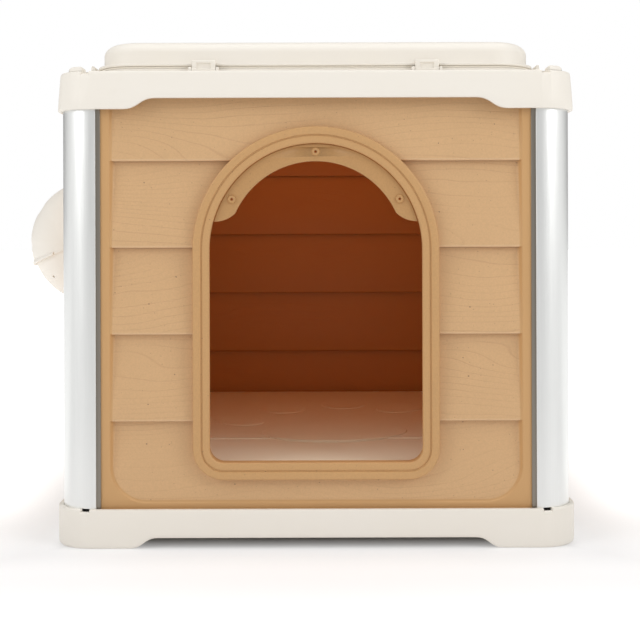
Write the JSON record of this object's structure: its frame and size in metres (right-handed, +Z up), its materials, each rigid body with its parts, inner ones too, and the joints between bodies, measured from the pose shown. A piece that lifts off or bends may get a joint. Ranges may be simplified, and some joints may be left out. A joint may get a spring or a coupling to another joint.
{
  "type": "dog house",
  "caption": "Moulded dog house with lap-board walls, an arched doorway, metal corner posts, a hinged roof lid with latches and a shuttered side vent.",
  "frame": {"origin": "centre of the footprint on the ground, on the base's central rest pad", "axes": "+Z up, the doorway faces -Y, +X to the right seen from the front, so the vent is at -X"},
  "size_m": [0.8432, 0.8578, 0.7015],
  "materials": {
    "ivory_plastic": "ivory moulded plastic, fine satin texture",
    "tan_plastic": "tan moulded plastic with engraved wood grain and dark flecks",
    "post_aluminium": "satin anodised extrusion",
    "fastener_steel": "plated steel",
    "seal_rubber": "pale soft seal"
  },
  "bodies": {
    "cabin": {"base_tray": "ivory_plastic", "floor_board": "ivory_plastic", "roof_frame": "ivory_plastic", "vent_collar": "ivory_plastic", "vent_hood": "ivory_plastic", "vent_clamp_ring": "ivory_plastic", "corner_cap_front_left": "ivory_plastic", "corner_cap_front_right": "ivory_plastic", "corner_cap_rear_right": "ivory_plastic", "corner_cap_rear_left": "ivory_plastic", "front_panel": "tan_plastic", "rear_panel": "tan_plastic", "left_panel": "tan_plastic", "right_panel": "tan_plastic", "door_trim": "tan_plastic", "flap_mount_plate": "tan_plastic", "post_front_left": "post_aluminium", "post_front_right": "post_aluminium", "post_rear_right": "post_aluminium", "post_rear_left": "post_aluminium", "roof_screw_front_left": "fastener_steel", "roof_screw_front_right": "fastener_steel", "roof_screw_rear_right": "fastener_steel", "roof_screw_rear_left": "fastener_steel", "base_screw_front_left": "fastener_steel", "base_screw_front_right": "fastener_steel", "base_screw_rear_right": "fastener_steel", "base_screw_rear_left": "fastener_steel", "lid_hinge_pin_left": "fastener_steel", "lid_hinge_pin_right": "fastener_steel", "latch_pin_left": "fastener_steel", "latch_pin_right": "fastener_steel", "vent_pin_front": "fastener_steel", "vent_pin_rear": "fastener_steel", "vent_screw_1": "fastener_steel", "vent_screw_2": "fastener_steel", "vent_screw_3": "fastener_steel", "vent_screw_4": "fastener_steel", "lid_gasket": "seal_rubber"},
    "lid": {"roof_lid": "ivory_plastic"},
    "left_latch": {"latch_left": "ivory_plastic"},
    "right_latch": {"latch_right": "ivory_plastic"},
    "shutter": {"vent_shutter": "ivory_plastic"}
  },
  "joints": [
    {"name": "lid_hinge", "type": "hinge", "parent": "cabin", "child": "lid", "pos_m": [0, 0.388, 0.665], "axis": [-1, 0, 0], "range_deg": [0, 100]},
    {"name": "left_latch_hinge", "type": "hinge", "parent": "cabin", "child": "left_latch", "pos_m": [-0.1555, -0.383, 0.655], "axis": [1, 0, 0], "range_deg": [0, 75]},
    {"name": "right_latch_hinge", "type": "hinge", "parent": "cabin", "child": "right_latch", "pos_m": [0.1555, -0.383, 0.655], "axis": [1, 0, 0], "range_deg": [0, 75]},
    {"name": "shutter_hinge", "type": "hinge", "parent": "cabin", "child": "shutter", "pos_m": [-0.379, 0, 0.414], "axis": [0, 1, 0], "range_deg": [0, 60]}
  ]
}
